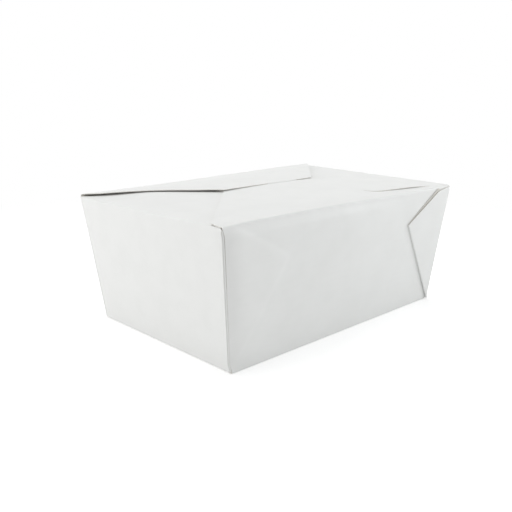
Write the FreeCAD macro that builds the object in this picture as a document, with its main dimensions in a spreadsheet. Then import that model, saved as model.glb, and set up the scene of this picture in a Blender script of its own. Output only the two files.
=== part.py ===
import FreeCAD, Part
import math
import os
import Sketcher
from FreeCAD import Placement, Rotation, Vector

# Takeout food box, folded from one sheet of white coated board and shut.
# The origin is the middle of the underside. +X runs along the long side and +Z up. The front
# long wall is at -Y and the rear one at +Y. All sizes are millimetres.
# The sheet is one solid, carton: base, four leaning walls, a folded web in each corner, two
# dust flaps and the front flap with its slit. The rear flap, whose tongue goes through that
# slit, is the part that opens, and turns about a line along the rear rim.

# Name, size and what it measures. Every other place and size is worked out from these.
SIZES = [
    ("base_length", 203.2, "outside length of the base"),
    ("base_width", 130.2, "outside width of the base"),
    ("mouth_length", 228.0, "outside length at the rim"),
    ("mouth_width", 141.6, "outside width at the rim"),
    ("box_height", 87.9, "floor to the top of the long flaps' creases"),
    ("board", 0.5, "thickness of the board"),
    ("ply_gap", 0.15, "air between plies that are folded together"),
    ("base_round", 0.5, "height of the bevelled fold round the base"),
    ("base_inset", 0.35, "how far that fold steps in at the floor"),
    ("crease_round", 1.0, "outer radius of the creases at the rim and of the bends"),
    ("lap_gap", 0.3, "air between flaps that lie on each other"),
    ("web_crease", 75.5, "length of the fold down the middle of a corner web"),
    ("web_shoulder_inset", 15.4, "rim corner to the web's shoulder, along the wall"),
    ("web_shoulder_drop", 3.4, "rim to the web's shoulder, down the wall"),
    ("web_step", 1.0, "how far the under ply of a web stands above its outer ply"),
    ("dust_depth", 76.0, "depth of a dust flap"),
    ("dust_inset", 3.0, "rim corner to the end of a dust flap's crease"),
    ("dust_taper", 12.0, "how much narrower each side of a dust flap is at its tip"),
    ("dust_round", 9.0, "corner radius of a dust flap"),
    ("seam_place", 5.5, "middle of the box to the rear flap's free edge"),
    ("seam_half", 44.3, "half the length of that free edge"),
    ("seam_rise", 3.75, "height of that edge above the long flaps' creases"),
    ("flap_bow", 1.7, "rise of the rear flap's bow above its chord"),
    ("crown_half", 57.0, "half the length of the front flap's crowned middle"),
    ("lip_reach", 10.0, "how far the front flap runs under the rear one"),
    ("lip_round", 6.0, "corner radius of the front flap's lip"),
    ("tongue_start", -2.6, "where the tongue starts along the free edge"),
    ("tongue_width", 30.6, "width of the tongue"),
    ("tongue_depth", 12.0, "depth of the tongue below the crease at its root"),
    ("tongue_round", 5.0, "corner radius of the tongue"),
    ("slit_gap", 0.3, "air round the tongue in its slit"),
]

# Places worked out from the sizes, in the order in which they build on each other.
PLACES = [
    # The outer faces of the walls at the floor, above the base fold and at the rim line.
    ("foot_x", "size.base_length / 2 - size.base_inset"),
    ("foot_y", "size.base_width / 2 - size.base_inset"),
    ("flare_x", "(size.mouth_length - size.base_length) / 2"),
    ("flare_y", "(size.mouth_width - size.base_width) / 2"),
    ("sill_x", "size.base_length / 2 + place.flare_x * size.base_round / size.box_height"),
    ("sill_y", "size.base_width / 2 + place.flare_y * size.base_round / size.box_height"),
    ("rim_z", "size.box_height - size.crease_round"),
    ("rim_x", "size.base_length / 2 + place.flare_x * place.rim_z / size.box_height"),
    ("rim_y", "size.base_width / 2 + place.flare_y * place.rim_z / size.box_height"),
    # The long wall's own slant, and the angles at its corner in the flat sheet.
    ("wall_slant", "sqrt(size.box_height ^ 2 + place.flare_y ^ 2)"),
    ("wall_lean", "atan(place.flare_y / size.box_height) / 1 deg"),
    ("end_slant", "sqrt(size.box_height ^ 2 + place.flare_x ^ 2)"),
    ("corner_long", "atan(place.flare_x / place.wall_slant) / 1 deg"),
    ("corner_end", "atan(place.flare_y / place.end_slant) / 1 deg"),
    ("web_half", "(90 - place.corner_long - place.corner_end) / 2"),
    ("crease_angle", "place.web_half - place.corner_long"),
    # The web's middle fold starts just inside the base corner, clear of the corner's own roll.
    ("roll", "size.board + size.ply_gap / 2"),
    ("corner_back", "size.board + size.ply_gap + place.roll"),
    ("crease_run", "tan(place.crease_angle * 1 deg) * place.wall_slant / size.box_height"),
    ("crease_foot", "place.foot_x - 2 * place.corner_back"),
    ("crease_sill", "place.crease_foot - place.crease_run * size.base_round"),
    ("crease_rim", "place.crease_foot - place.crease_run * place.rim_z"),
    # The end of that fold, and the shoulder of the web's upper edge, on the wall.
    ("tip_u", "size.base_length / 2 - size.web_crease * sin(place.crease_angle * 1 deg)"),
    ("tip_v", "size.web_crease * cos(place.crease_angle * 1 deg)"),
    ("shoulder_u", "size.mouth_length / 2 - size.web_shoulder_inset"),
    ("shoulder_v", "place.wall_slant - size.web_shoulder_drop"),
    ("edge_run", "(place.shoulder_v - place.tip_v) / (place.shoulder_u - place.tip_u)"),
    # The long flaps' creases end where the long walls do.
    ("crease_end", "place.rim_x - size.board - size.ply_gap"),
    # The dust flaps lie under the long flaps.
    ("dust_top", "size.box_height - size.board - size.lap_gap"),
    ("dust_line", "place.dust_top - size.crease_round"),
    ("dust_start", "place.rim_x - size.crease_round"),
    ("dust_tip", "place.rim_x - size.dust_depth"),
    ("dust_half", "place.rim_y - size.dust_inset"),
    ("dust_tip_half", "place.dust_half - size.dust_taper"),
    # The hinge line, and the centre and radius of the rear flap's bow.
    ("hinge_y", "place.rim_y - size.board / 2"),
    ("hinge_z", "size.box_height - size.board / 2"),
    ("free_z", "size.box_height + size.seam_rise - size.board / 2"),
    ("chord_y", "place.hinge_y - size.seam_place"),
    ("chord_z", "place.hinge_z - place.free_z"),
    ("chord", "sqrt(place.chord_y ^ 2 + place.chord_z ^ 2)"),
    ("bow_radius", "(place.chord ^ 2 / 4 + size.flap_bow ^ 2) / (2 * size.flap_bow)"),
    ("bow_depth", "(place.bow_radius - size.flap_bow) / place.chord"),
    ("bow_y", "(place.hinge_y + size.seam_place) / 2 + place.bow_depth * place.chord_z"),
    ("bow_z", "(place.hinge_z + place.free_z) / 2 - place.bow_depth * place.chord_y"),
    ("bow_over", "place.bow_radius + size.board / 2"),
    ("bow_under", "place.bow_radius - size.board / 2"),
    ("hinge_off_y", "size.board / 2 * (place.hinge_y - place.bow_y) / place.bow_radius"),
    ("hinge_off_z", "size.board / 2 * (place.hinge_z - place.bow_z) / place.bow_radius"),
    # The front flap's crown rises to lap_gap below the rear flap at the edge of its lip.
    ("front_start", "size.crease_round - place.rim_y"),
    ("lip_y", "size.seam_place + size.lip_reach"),
    ("lip_run", "place.lip_y - place.bow_y"),
    ("lip_top", "place.bow_z + sqrt(place.bow_under ^ 2 - place.lip_run ^ 2) - size.lap_gap"),
    ("crown", "place.lip_top - size.box_height"),
    ("crown_radius", "(size.crown_half ^ 2 + place.crown ^ 2) / (2 * place.crown)"),
    ("crown_z", "place.lip_top - place.crown_radius"),
    # Its sides run along the end walls for a little way, then at 45 degrees to the rear flap's
    # free corners.
    ("side_y", "size.seam_place - (place.crease_end - size.seam_half)"),
    # The tongue bends down at the free edge and then follows a circle about the hinge line.
    ("tongue_end", "size.tongue_start + size.tongue_width"),
    ("root_y", "size.seam_place + size.crease_round"),
    ("root_top", "place.bow_z + sqrt(place.bow_over ^ 2 - (place.root_y - place.bow_y) ^ 2)"),
    ("neck_z", "place.root_top - size.crease_round"),
    ("tongue_z", "place.neck_z - size.tongue_depth"),
    ("sweep", "sqrt((place.hinge_y - size.seam_place) ^ 2 + (place.neck_z - place.hinge_z) ^ 2)"),
    ("inner", "place.sweep - size.board"),
    ("drop", "place.tongue_z - place.hinge_z"),
    ("neck", "place.neck_z - place.hinge_z"),
]

document = FreeCAD.newDocument("takeout_food_box")
sheet = document.addObject("Spreadsheet::Sheet", "size")
for row, (name, value, meaning) in enumerate(SIZES, 1):
    sheet.set(f"A{row}", meaning)
    sheet.set(f"B{row}", str(value))
    sheet.setAlias(f"B{row}", name)
document.recompute()
place = document.addObject("App::VarSet", "place")
for name, formula in PLACES:
    place.addProperty("App::PropertyFloat", name, "place")
    place.setExpression(name, formula)
    document.recompute()

FLAT = Rotation()
UPRIGHT_FRONT = Rotation(Vector(1, 0, 0), 90)
UPRIGHT_SIDE = Rotation(Vector(0, 1, 0), Vector(0, 0, 1), Vector(1, 0, 0), "XYZ")
# How far each straight step of a folded corner's roll turns. The rolls are half a millimetre
# wide and run the height of the box, so a few flat steps serve.
STEP_DEGREES = 45


def number(formula):
    """The present value of a formula in the sheet's names."""
    return float(place.evalExpression(str(formula)))


def bend(turn, axis, centre):
    """An arc to the next corner. It turns left or right about a centre, one of whose two
    coordinates, u or v, is given: the two corners settle the other."""
    return turn, axis, centre


def arc_centre(start, end, axis, known):
    """The centre of the arc, on the perpendicular bisector of the line between two points."""
    middle = [(start[k] + end[k]) / 2 for k in (0, 1)]
    across = (start[1] - end[1], end[0] - start[0])
    other = 1 - axis
    step = (known - middle[axis]) / across[axis]
    centre = [0.0, 0.0]
    centre[axis] = known
    centre[other] = middle[other] + step * across[other]
    return centre


def outline(name, turned, corners, **shift):
    """A closed sketch through corners (u, v) or (u, v, bend), each coordinate a formula.
    turned is the sketch plane's rotation, and shift moves it along x, y or z."""
    sketch = document.addObject("Sketcher::SketchObject", name)
    sketch.Placement = Placement(Vector(), turned)
    for axis, formula in shift.items():
        sketch.setExpression(f".Placement.Base.{axis}", formula)
    points = [(number(corner[0]), number(corner[1])) for corner in corners]
    starts = []
    ends = []
    rules = []
    for index, corner in enumerate(corners):
        here = points[index]
        there = points[(index + 1) % len(points)]
        if len(corner) == 2:
            edge = Part.LineSegment(Vector(*here, 0), Vector(*there, 0))
            starts.append((index, 1))
            ends.append((index, 2))
        else:
            turn, axis, known = corner[2]
            centre = arc_centre(here, there, "uv".index(axis), number(known))
            first = math.atan2(here[1] - centre[1], here[0] - centre[0])
            last = math.atan2(there[1] - centre[1], there[0] - centre[0])
            circle = Part.Circle(Vector(*centre, 0), Vector(0, 0, 1), math.dist(centre, here))
            left = turn == "left"
            edge = Part.ArcOfCircle(circle, first, last) if left else Part.ArcOfCircle(circle, last, first)
            starts.append((index, 1 if left else 2))
            ends.append((index, 2 if left else 1))
            rules.append(("DistanceX" if axis == "u" else "DistanceY", (index, 3), known))
        sketch.addGeometry(edge)
        rules.append(("DistanceX", starts[-1], corner[0]))
        rules.append(("DistanceY", starts[-1], corner[1]))
    for index, end in enumerate(ends):
        start = starts[(index + 1) % len(starts)]
        sketch.addConstraint(Sketcher.Constraint("Coincident", *end, *start))
    for kind, point, formula in rules:
        rule = Sketcher.Constraint(kind, -1, 1, *point, number(formula))
        sketch.setExpression(f"Constraints[{sketch.addConstraint(rule)}]", str(formula))
    return sketch


def extruded(name, sketch, length, back="0"):
    """The sketch pushed along its plane's normal by one length and against it by the other."""
    solid = document.addObject("Part::Extrusion", name)
    solid.Base = sketch
    solid.DirMode = "Normal"
    solid.Solid = True
    solid.setExpression("LengthFwd", length)
    solid.setExpression("LengthRev", back)
    return solid


def lofted(name, sketches):
    """A solid of straight lines from each sketch to the next."""
    solid = document.addObject("Part::Loft", name)
    solid.Sections = sketches
    solid.Solid = True
    solid.Ruled = True
    solid.Linearize = True
    return solid


def joined(kind, name, base, tool):
    """Part::Cut or Part::Common of two objects."""
    solid = document.addObject(kind, name)
    solid.Base = base
    solid.Tool = tool
    return solid


def fused(name, shapes):
    """One solid of several that touch."""
    solid = document.addObject("Part::MultiFuse", name)
    solid.Shapes = shapes
    solid.Refine = True
    return solid


def mirrored(name, source, normal):
    """A copy on the other side of the middle plane that has this normal."""
    solid = document.addObject("Part::Mirroring", name)
    solid.Source = source
    solid.Normal = normal
    return solid


def rolled(corners):
    """Puts straight steps in place of rolls. A corner (u, v, roll) has a roll (degrees, centre
    u, centre v): the path turns about that centre to the next corner, left if it is positive."""
    points = []
    for corner in corners:
        u, v = corner[:2]
        points.append((u, v))
        if len(corner) == 2:
            continue
        degrees, centre_u, centre_v = corner[2]
        steps = abs(degrees) // STEP_DEGREES
        for step in range(1, steps):
            angle = math.radians(degrees * step / steps)
            out_u = f"({u} - ({centre_u}))"
            out_v = f"({v} - ({centre_v}))"
            step_u = f"{centre_u} + {out_u} * {math.cos(angle)} - {out_v} * {math.sin(angle)}"
            step_v = f"{centre_v} + {out_u} * {math.sin(angle)} + {out_v} * {math.cos(angle)}"
            points.append((step_u, step_v))
    return points


def wall_section(name, height, x, y, crease):
    """The front half of the walls cut level: the sheet runs from the right end wall round the
    right web, along the front wall, round the left web and to the left end wall.
    The right web is folded outside the long wall and the left web inside it. A web is two
    plies: the first rolls back off the long wall, and the second rolls off the first at the
    web's middle fold and bends square into the end wall."""
    middle = "0"
    corner = f"{x} - place.corner_back"
    square = f"{x} - size.crease_round"
    # The faces of the long wall and of the plies, outside the wall at the right.
    wall_out = f"-{y}"
    wall_in = f"{wall_out} + size.board"
    near_in = f"{wall_out} - size.ply_gap"
    near_out = f"{near_in} - size.board"
    far_in = f"{near_out} - size.ply_gap"
    far_out = f"{far_in} - size.board"
    # And inside it at the left.
    first_out = f"{wall_in} + size.ply_gap"
    first_in = f"{first_out} + size.board"
    second_out = f"{first_in} + size.ply_gap"
    second_in = f"{second_out} + size.board"
    left_corner = f"-{x} + place.roll"
    left_square = f"-{x} + size.crease_round"
    left_crease = f"-{crease}"
    # Where the square bends start, along the end walls.
    right_bend = f"{far_out} + size.crease_round"
    left_bend = f"{second_out} + size.crease_round"
    corners = [
        # The outer face, from the right end wall.
        (x, middle),
        (x, right_bend, (-90, square, right_bend)),
        (square, far_out),
        (crease, far_out, (-180, crease, f"({far_out} + {near_in}) / 2")),
        (crease, near_in),
        (corner, near_in, (180, corner, f"({near_in} + {wall_out}) / 2")),
        (corner, wall_out),
        (left_corner, wall_out, (-180, left_corner, f"({wall_out} + {first_in}) / 2")),
        (left_corner, first_in),
        (left_crease, first_in, (180, left_crease, f"({first_in} + {second_out}) / 2")),
        (left_crease, second_out),
        (left_square, second_out, (-90, left_square, left_bend)),
        (f"-{x}", left_bend),
        (f"-{x}", middle),
        # The inner face, back to the right end wall.
        (f"-{x} + size.board", middle),
        (f"-{x} + size.board", left_bend, (90, left_square, left_bend)),
        (left_square, second_in),
        (left_crease, second_in, (-180, left_crease, f"({second_in} + {first_out}) / 2")),
        (left_crease, first_out),
        (left_corner, first_out, (180, left_corner, f"({first_out} + {wall_in}) / 2")),
        (left_corner, wall_in),
        (corner, wall_in, (-180, corner, f"({wall_in} + {near_out}) / 2")),
        (corner, near_out),
        (crease, near_out, (180, crease, f"({near_out} + {far_in}) / 2")),
        (crease, far_in),
        (square, far_in, (90, square, right_bend)),
        (f"{x} - size.board", right_bend),
        (f"{x} - size.board", middle),
    ]
    return outline(name, FLAT, rolled(corners), z=height)


def web_trim(name, side, out, step, length, back):
    """Takes what lies above a web's upper edge off the plies beyond a plane parallel to the
    front wall. side is 1 for the right web and -1 for the left one, out is that plane's place
    outside the wall, and step is how much further up this cut is."""
    lean = Rotation(Vector(1, 0, 0), 90 + number("place.wall_lean"))
    start = f"place.tip_v - place.tip_u * place.edge_run + {step}"
    far = f"{side} * size.mouth_length"
    corners = [
        ("0", start),
        (f"{side} * place.shoulder_u", f"place.shoulder_v + {step}"),
        (f"{side} * size.mouth_length / 2", f"place.wall_slant + {step}"),
        (far, f"place.wall_slant + {step}"),
        (far, "2 * place.wall_slant"),
        ("0", "2 * place.wall_slant"),
    ]
    sketch = outline(f"{name}_outline", lean, corners, y=f"-size.base_width / 2 - ({out})")
    sketch.setExpression(".Placement.Rotation.Angle", "90 + place.wall_lean")
    return extruded(name, sketch, length, back)


# The front half of the walls, with its two webs trimmed, and the rear half as its mirror image.
sections = [
    wall_section("walls_at_floor", "0", "place.foot_x", "place.foot_y", "place.crease_foot"),
    wall_section("walls_at_sill", "size.base_round", "place.sill_x", "place.sill_y", "place.crease_sill"),
    wall_section("walls_at_rim", "place.rim_z", "place.rim_x", "place.rim_y", "place.crease_rim"),
]
front_half = lofted("front_half_untrimmed", sections)
REACH = "5 * size.board + 5 * size.ply_gap"
PLY = "size.board + size.ply_gap"
trims = [
    ("right_web_trim", 1, "size.ply_gap / 2", "size.web_step", REACH, "0"),
    ("right_outer_ply_trim", 1, f"size.ply_gap / 2 + {PLY}", "0", REACH, "0"),
    ("left_web_trim", -1, "-size.board - size.ply_gap / 2", "size.web_step", "0", REACH),
    ("left_inner_ply_trim", -1, f"-size.board - size.ply_gap / 2 - {PLY}", "0", "0", REACH),
]
for name, *trim in trims:
    front_half = joined("Part::Cut", f"after_{name}", front_half, web_trim(name, *trim))
rear_half = mirrored("rear_half", front_half, Vector(0, 1, 0))

# The end walls stand lower than the long ones, because the dust flaps fold in under the rest.
end_trims = []
for name, side in (("right", 1), ("left", -1)):
    inner = f"{side} * (place.rim_x - size.board - size.ply_gap / 2)"
    outer = f"{side} * size.mouth_length"
    corners = [
        (inner, "place.dust_line"),
        (outer, "place.dust_line"),
        (outer, "size.box_height"),
        (inner, "size.box_height"),
    ]
    if side < 0:
        corners.reverse()
    sketch = outline(f"{name}_end_trim_outline", UPRIGHT_FRONT, corners)
    end_trims.append(extruded(f"{name}_end_trim", sketch, "size.mouth_width", "size.mouth_width"))
end_trim = fused("end_trim", end_trims)
front_walls = joined("Part::Cut", "front_walls", front_half, end_trim)
rear_walls = joined("Part::Cut", "rear_walls", rear_half, end_trim)

# The base lies inside the walls' thickness.
half_x = "(place.foot_x - size.board / 2)"
half_y = "(place.foot_y - size.board / 2)"
base_corners = [
    (f"-{half_x}", f"-{half_y}"),
    (half_x, f"-{half_y}"),
    (half_x, half_y),
    (f"-{half_x}", half_y),
]
base = extruded("base", outline("base_outline", FLAT, base_corners), "size.board")

# A dust flap: its crease rolls off the end wall, and the flap lies level under the long flaps.
dust_low = "place.dust_top - size.board"
dust_crease_corners = [
    ("place.rim_x", "place.dust_line", bend("left", "u", "place.dust_start")),
    ("place.dust_start", "place.dust_top"),
    ("place.dust_start", dust_low, bend("right", "u", "place.dust_start")),
    ("place.rim_x - size.board", "place.dust_line"),
]
dust_crease = extruded(
    "dust_crease",
    outline("dust_crease_outline", UPRIGHT_FRONT, dust_crease_corners),
    "place.dust_half",
    "place.dust_half",
)
dust_bend = bend("left", "u", "place.dust_tip + size.dust_round")
dust_corners = [
    ("place.dust_start", "-place.dust_half"),
    ("place.dust_start", "place.dust_half"),
    ("place.dust_tip + size.dust_round", "place.dust_tip_half", dust_bend),
    ("place.dust_tip", "place.dust_tip_half - size.dust_round"),
    ("place.dust_tip", "size.dust_round - place.dust_tip_half", dust_bend),
    ("place.dust_tip + size.dust_round", "-place.dust_tip_half"),
]
dust_panel = extruded("dust_panel", outline("dust_outline", FLAT, dust_corners, z=dust_low), "size.board")
right_dust_flap = fused("right_dust_flap", [dust_crease, dust_panel])
left_dust_flap = mirrored("left_dust_flap", right_dust_flap, Vector(1, 0, 0))

# The front flap: a soft crease off the front wall, and a panel that is level at the crease and
# crowned at its lip, cut to its outline and slit for the tongue.
front_low = "size.box_height - size.board"
front_crease_corners = [
    ("-place.rim_y", "place.rim_z", bend("right", "u", "place.front_start")),
    ("place.front_start", "size.box_height"),
    ("place.front_start", front_low, bend("left", "u", "place.front_start")),
    ("size.board - place.rim_y", "place.rim_z"),
]
front_crease = extruded(
    "front_crease",
    outline("front_crease_outline", UPRIGHT_SIDE, front_crease_corners),
    "place.crease_end",
    "place.crease_end",
)
level_corners = [
    ("-place.crease_end", front_low),
    ("-size.crown_half", front_low),
    ("size.crown_half", front_low),
    ("place.crease_end", front_low),
    ("place.crease_end", "size.box_height"),
    ("size.crown_half", "size.box_height"),
    ("-size.crown_half", "size.box_height"),
    ("-place.crease_end", "size.box_height"),
]
under_crown = bend("right", "v", "place.crown_z - size.board")
over_crown = bend("left", "v", "place.crown_z")
crowned_corners = [
    corner + ((under_crown,) if index == 1 else (over_crown,) if index == 5 else ())
    for index, corner in enumerate(level_corners)
]
front_start = outline("front_flap_at_crease", UPRIGHT_FRONT, level_corners, y="place.front_start")
front_end = outline("front_flap_at_lip", UPRIGHT_FRONT, crowned_corners, y="place.lip_y")
front_sheet = lofted("front_flap_sheet", [front_start, front_end])
lip_side = "place.lip_y - size.lip_round"
lip_right = "size.seam_half - size.lip_round"
lip_left = "size.lip_round - size.seam_half"
front_corners = [
    ("-place.crease_end", "place.front_start"),
    ("place.crease_end", "place.front_start"),
    ("place.crease_end", "place.side_y"),
    ("size.seam_half", "size.seam_place"),
    ("size.seam_half", lip_side, bend("left", "u", lip_right)),
    (lip_right, "place.lip_y"),
    (lip_left, "place.lip_y", bend("left", "u", lip_left)),
    ("-size.seam_half", lip_side),
    ("-size.seam_half", "size.seam_place"),
    ("-place.crease_end", "place.side_y"),
]
front_outline = outline("front_flap_outline", FLAT, front_corners)
front_prism = extruded("front_flap_prism", front_outline, "2 * size.box_height")
front_panel = joined("Part::Common", "front_panel", front_sheet, front_prism)
slit_corners = [
    ("size.tongue_start - size.slit_gap", "size.seam_place - size.slit_gap"),
    ("place.tongue_end + size.slit_gap", "size.seam_place - size.slit_gap"),
    ("place.tongue_end + size.slit_gap", "size.seam_place + size.board + size.slit_gap"),
    ("size.tongue_start - size.slit_gap", "size.seam_place + size.board + size.slit_gap"),
]
slit = extruded("slit", outline("slit_outline", FLAT, slit_corners), "2 * size.box_height")
front_flap = joined("Part::Cut", "front_flap", front_panel, slit)

carton = fused(
    "carton",
    [base, front_walls, rear_walls, right_dust_flap, left_dust_flap, front_crease, front_flap],
)

# The rear flap: a bowed sheet whose edge is rolled about the hinge line, cut to its outline,
# with a notch at the tongue's root that the tongue's own bend fills.
bow_axis = "place.bow_y"
edge_over = "place.bow_z + sqrt(place.bow_over ^ 2 - (size.seam_place - place.bow_y) ^ 2)"
edge_under = "place.bow_z + sqrt(place.bow_under ^ 2 - (size.seam_place - place.bow_y) ^ 2)"
root_over = ("place.hinge_y + place.hinge_off_y", "place.hinge_z + place.hinge_off_z")
root_under = ("place.hinge_y - place.hinge_off_y", "place.hinge_z - place.hinge_off_z")
bowed_corners = [
    (*root_over, bend("left", "u", bow_axis)),
    ("size.seam_place", edge_over),
    ("size.seam_place", edge_under, bend("right", "u", bow_axis)),
    (*root_under, bend("left", "u", "place.hinge_y")),
]
rear_sheet = extruded(
    "rear_flap_sheet",
    outline("rear_flap_bow", UPRIGHT_SIDE, bowed_corners),
    "place.crease_end",
    "place.crease_end",
)
rear_corners = [
    ("-place.crease_end", "place.rim_y"),
    ("-place.crease_end", "place.hinge_y"),
    ("-size.seam_half", "size.seam_place"),
    ("size.tongue_start", "size.seam_place"),
    ("size.tongue_start", "place.root_y"),
    ("place.tongue_end", "place.root_y"),
    ("place.tongue_end", "size.seam_place"),
    ("size.seam_half", "size.seam_place"),
    ("place.crease_end", "place.hinge_y"),
    ("place.crease_end", "place.rim_y"),
]
rear_outline = outline("rear_flap_outline", FLAT, rear_corners)
rear_prism = extruded("rear_flap_prism", rear_outline, "2 * size.box_height")
rear_panel = joined("Part::Common", "rear_panel", rear_sheet, rear_prism)

# The tongue bends down at its root, then follows the circle that its root makes as the flap
# turns, so that it slides through the slit without touching it.
inner_tip = "place.hinge_y - sqrt(place.inner ^ 2 - place.drop ^ 2)"
inner_neck = "place.hinge_y - sqrt(place.inner ^ 2 - place.neck ^ 2)"
tongue_corners = [
    ("place.root_y", "place.root_top", bend("left", "u", "place.root_y")),
    ("size.seam_place", "place.neck_z", bend("left", "u", "place.hinge_y")),
    ("place.hinge_y - sqrt(place.sweep ^ 2 - place.drop ^ 2)", "place.tongue_z"),
    (inner_tip, "place.tongue_z", bend("right", "u", "place.hinge_y")),
    (inner_neck, "place.neck_z", bend("right", "u", "place.root_y")),
    ("place.root_y", "place.root_top - size.board"),
]
tongue_strip = extruded(
    "tongue_strip",
    outline("tongue_bend", UPRIGHT_SIDE, tongue_corners),
    "place.tongue_end",
    "-size.tongue_start",
)
tab_left = "size.tongue_start + size.tongue_round"
tab_right = "place.tongue_end - size.tongue_round"
tab_corners = [
    (tab_left, "place.tongue_z"),
    (tab_right, "place.tongue_z", bend("left", "u", tab_right)),
    ("place.tongue_end", "place.tongue_z + size.tongue_round"),
    ("place.tongue_end", "2 * size.box_height"),
    ("size.tongue_start", "2 * size.box_height"),
    ("size.tongue_start", "place.tongue_z + size.tongue_round", bend("left", "u", tab_left)),
]
tab_prism = extruded(
    "tongue_prism",
    outline("tongue_outline", UPRIGHT_FRONT, tab_corners),
    "size.mouth_width",
    "size.mouth_width",
)
tongue = joined("Part::Common", "tongue", tongue_strip, tab_prism)
locking_flap = fused("locking_flap", [rear_panel, tongue])

document.recompute()
for item in document.Objects:
    if "Invalid" in item.State or "Error" in item.State:
        raise RuntimeError(f"{item.Name} did not build: {item.State}")
os.makedirs("parts", exist_ok=True)
for piece in (carton, locking_flap):
    shape = piece.Shape
    if shape.isNull() or not shape.isValid() or len(shape.Solids) != 1:
        raise RuntimeError(f"{piece.Label} is not one sound solid")
    shape.exportStep(f"parts/{piece.Label}.step")
    print(piece.Label, round(shape.Volume), "cubic mm", shape.BoundBox)
print("hinge line at y", round(number("place.hinge_y"), 4), "z", round(number("place.hinge_z"), 4))
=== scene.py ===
# %% [markdown]
# A takeout food box is one flat sheet of white coated board, cut, creased and folded. This lesson
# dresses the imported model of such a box: it makes each panel again as a thin curved surface with
# real board thickness, soft creases and cut edges, and gives the board its finish.

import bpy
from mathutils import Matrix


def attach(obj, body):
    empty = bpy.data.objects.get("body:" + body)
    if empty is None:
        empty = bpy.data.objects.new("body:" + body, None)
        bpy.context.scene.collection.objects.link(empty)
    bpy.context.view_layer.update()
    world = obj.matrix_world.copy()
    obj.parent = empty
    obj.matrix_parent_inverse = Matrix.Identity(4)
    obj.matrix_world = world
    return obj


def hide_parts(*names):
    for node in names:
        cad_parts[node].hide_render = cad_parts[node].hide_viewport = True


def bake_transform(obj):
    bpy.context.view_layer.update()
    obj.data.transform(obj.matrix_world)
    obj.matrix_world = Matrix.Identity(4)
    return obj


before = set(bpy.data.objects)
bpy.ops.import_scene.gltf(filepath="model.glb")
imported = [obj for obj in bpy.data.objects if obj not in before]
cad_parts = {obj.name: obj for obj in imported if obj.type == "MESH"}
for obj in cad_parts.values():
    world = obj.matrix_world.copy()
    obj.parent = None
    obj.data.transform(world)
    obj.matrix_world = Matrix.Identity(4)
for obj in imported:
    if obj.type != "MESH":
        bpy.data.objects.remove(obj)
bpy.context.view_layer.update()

# %% Modules
import math

import bpy
import numpy as np
from mathutils import Matrix, Vector

# %% [markdown]
# The sizes below are the box's own, in millimetres. They are the same driving dimensions as the
# solid model has, so that each surface lies where its solid is. Everything else is worked out.

# %% Sizes, in millimetres
MM = 0.001
BASE_X, BASE_Y = 203.2 / 2, 130.2 / 2
MOUTH_X, MOUTH_Y = 228.0 / 2, 141.6 / 2
HEIGHT = 87.9
BOARD = 0.5
PLY_GAP = 0.15
LAP_GAP = 0.3
CREASE = 1.0
SEAM_Y, SEAM_HALF, SEAM_RISE = 5.5, 44.3, 3.75
FLAP_BOW = 1.7
LIP_REACH, LIP_ROUND = 10.0, 6.0
TONGUE_START, TONGUE_WIDTH, TONGUE_DEPTH, TONGUE_ROUND = -2.6, 30.6, 12.0, 5.0
SLIT_GAP = 0.3
DUST_DEPTH, DUST_INSET, DUST_TAPER, DUST_ROUND = 76.0, 3.0, 12.0, 9.0
WEB_CREASE, WEB_STEP = 75.5, 2.4
SHOULDER_IN, SHOULDER_DROP = 15.4, 3.4

# %% Places that follow from the sizes
HALF_BOARD = BOARD / 2
RIM_Z = HEIGHT - CREASE
LEAN_X = (MOUTH_X - BASE_X) / HEIGHT
LEAN_Y = (MOUTH_Y - BASE_Y) / HEIGHT
RIM_X = BASE_X + LEAN_X * RIM_Z
RIM_Y = BASE_Y + LEAN_Y * RIM_Z
ROLL = BOARD + PLY_GAP / 2
CORNER_BACK = BOARD + PLY_GAP + ROLL
CREASE_END = RIM_X - BOARD - PLY_GAP
DUST_TOP = HEIGHT - BOARD - LAP_GAP
DUST_LINE = DUST_TOP - CREASE
TONGUE_END = TONGUE_START + TONGUE_WIDTH
LIP_Y = SEAM_Y + LIP_REACH
print("rim line at", round(RIM_X, 2), round(RIM_Y, 2), "dust flaps' crease at", round(DUST_LINE, 2))

# %% [markdown]
# The camera is where the photograph was taken from, worked out from the box's own corners. It
# comes first, because everything is judged through it. The focal length is in pixels of the
# photograph's 512 by 512 frame.

# %% The camera
FOCAL_PIXELS, PICTURE_SIDE, SENSOR = 678.58, 512, 36.0
CAMERA_PLACE = Vector((-343.02, -328.51, 165.95)) * MM
AZIMUTH, ELEVATION, CAMERA_ROLL = 0.7787, 0.2615, -0.0116

ahead = Vector(
    (
        math.sin(AZIMUTH) * math.cos(ELEVATION),
        math.cos(AZIMUTH) * math.cos(ELEVATION),
        -math.sin(ELEVATION),
    )
)
level_right = Vector((math.cos(AZIMUTH), -math.sin(AZIMUTH), 0))
level_down = ahead.cross(level_right)
right = math.cos(CAMERA_ROLL) * level_right + math.sin(CAMERA_ROLL) * level_down
down = math.cos(CAMERA_ROLL) * level_down - math.sin(CAMERA_ROLL) * level_right
camera = bpy.data.objects.new("camera", bpy.data.cameras.new("camera"))
bpy.context.collection.objects.link(camera)
camera.data.sensor_width = SENSOR
camera.data.lens = FOCAL_PIXELS / PICTURE_SIDE * SENSOR
camera.data.clip_start, camera.data.clip_end = 0.01, 20
facing = Matrix((right, -down, -ahead)).transposed().to_4x4()
camera.matrix_world = Matrix.Translation(CAMERA_PLACE) @ facing
bpy.context.scene.camera = camera
print("lens, mm:", round(camera.data.lens, 2))

# %% [markdown]
# Shader maths reads best as formulas. This small class wraps a node's output, so that adding or
# multiplying two wrapped outputs adds the Math node that does it.

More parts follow.
